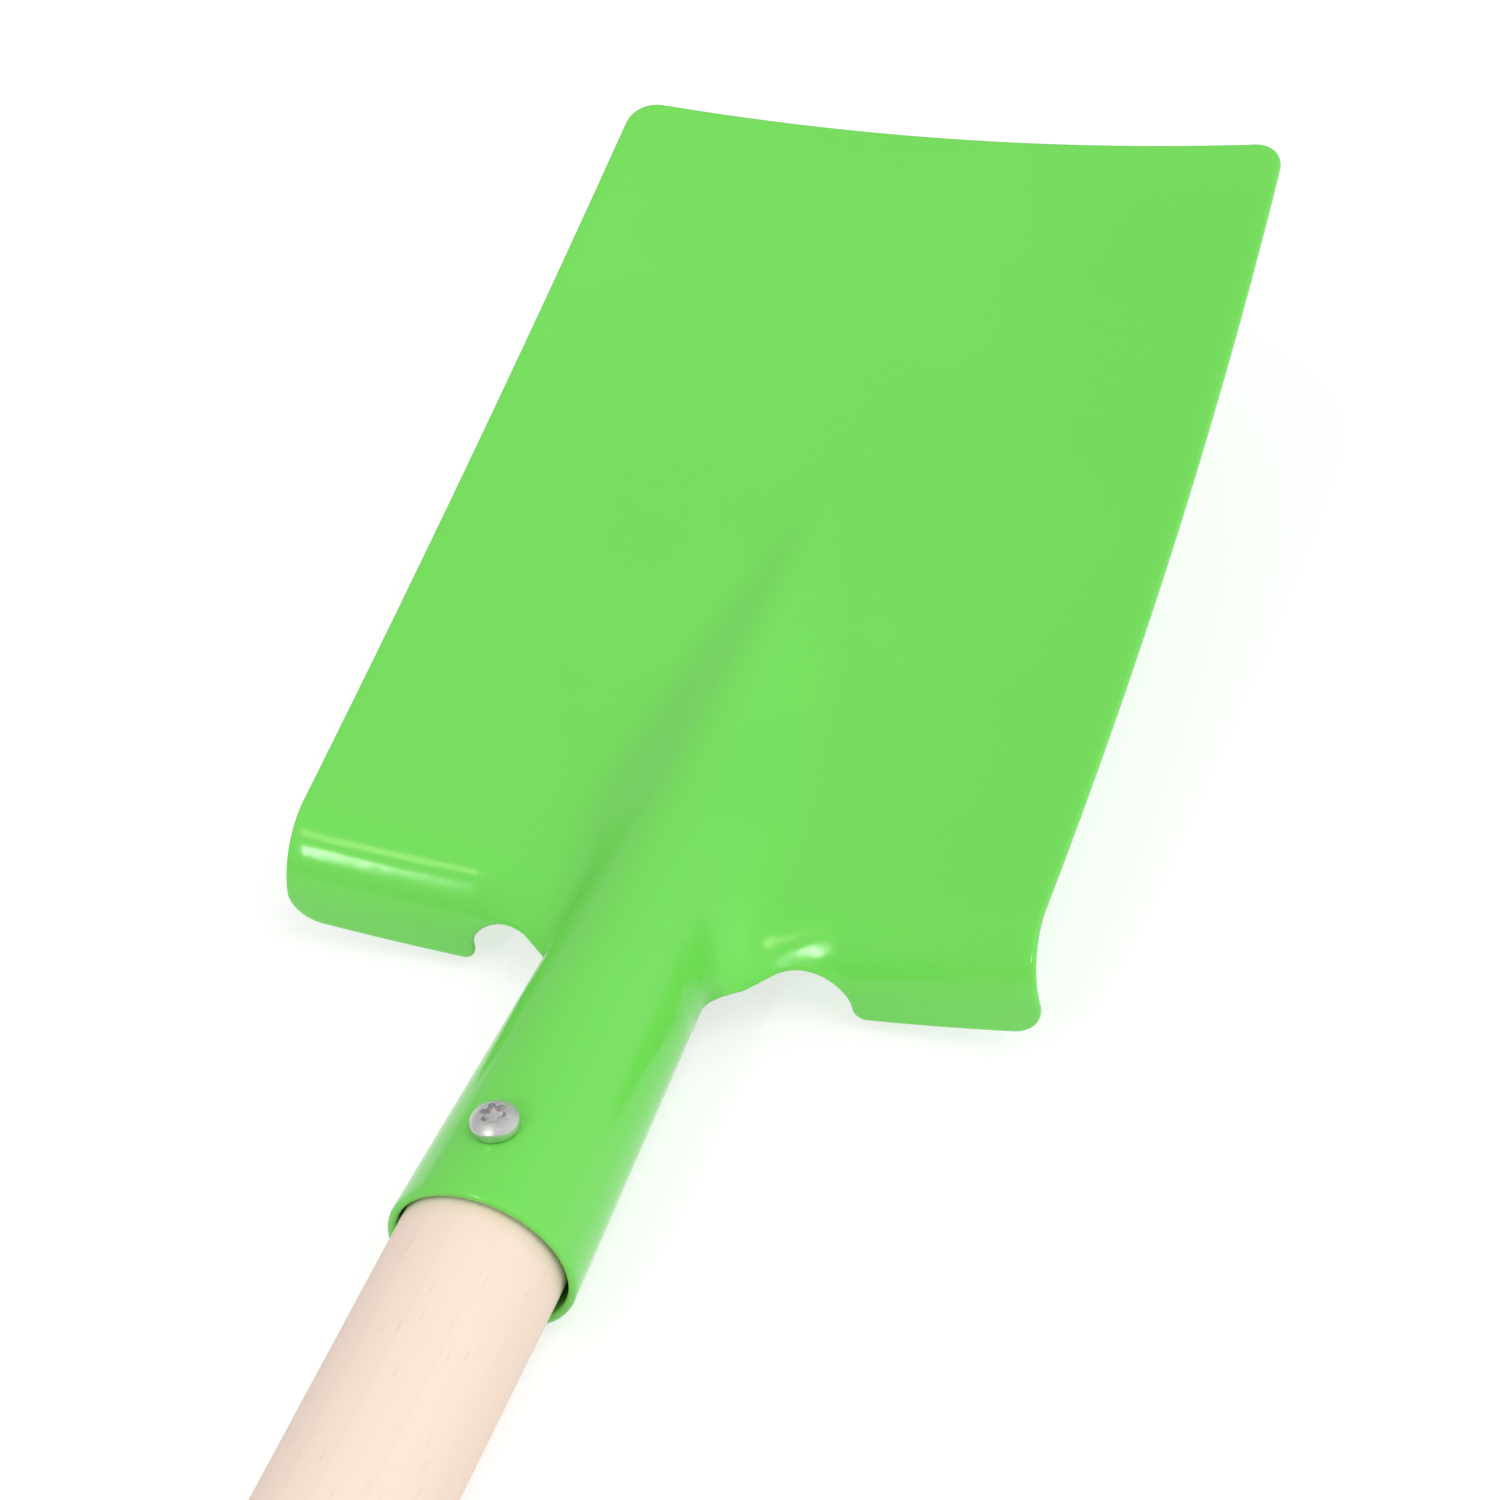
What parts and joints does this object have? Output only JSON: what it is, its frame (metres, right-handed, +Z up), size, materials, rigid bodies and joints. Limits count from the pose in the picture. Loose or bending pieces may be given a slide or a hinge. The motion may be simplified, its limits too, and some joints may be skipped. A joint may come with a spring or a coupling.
{
  "type": "sand shovel",
  "caption": "Child's sand shovel: pressed green steel blade with folded foot treads and rolled socket, screwed to a round beech handle with a wooden cross grip.",
  "frame": {"origin": "centre of the bounding box on the floor, with the shovel lying face up on its socket's mouth and its grip", "axes": "+Y runs along the shovel from the grip to the blade's tip, +Z is up and out of the blade's hollow face, +X is to the right seen from the grip"},
  "size_m": [0.12, 0.6497, 0.0501],
  "materials": {
    "green_coat": "glossy light green powder coat on steel sheet",
    "beech": "turned and sanded pale beech, unvarnished",
    "steel_screw": "bright zinc-plated steel"
  },
  "bodies": {
    "root": {"blade_head": "green_coat", "socket_screw": "steel_screw", "shaft": "beech", "grip_bar": "beech", "grip_screw": "steel_screw"}
  },
  "joints": []
}
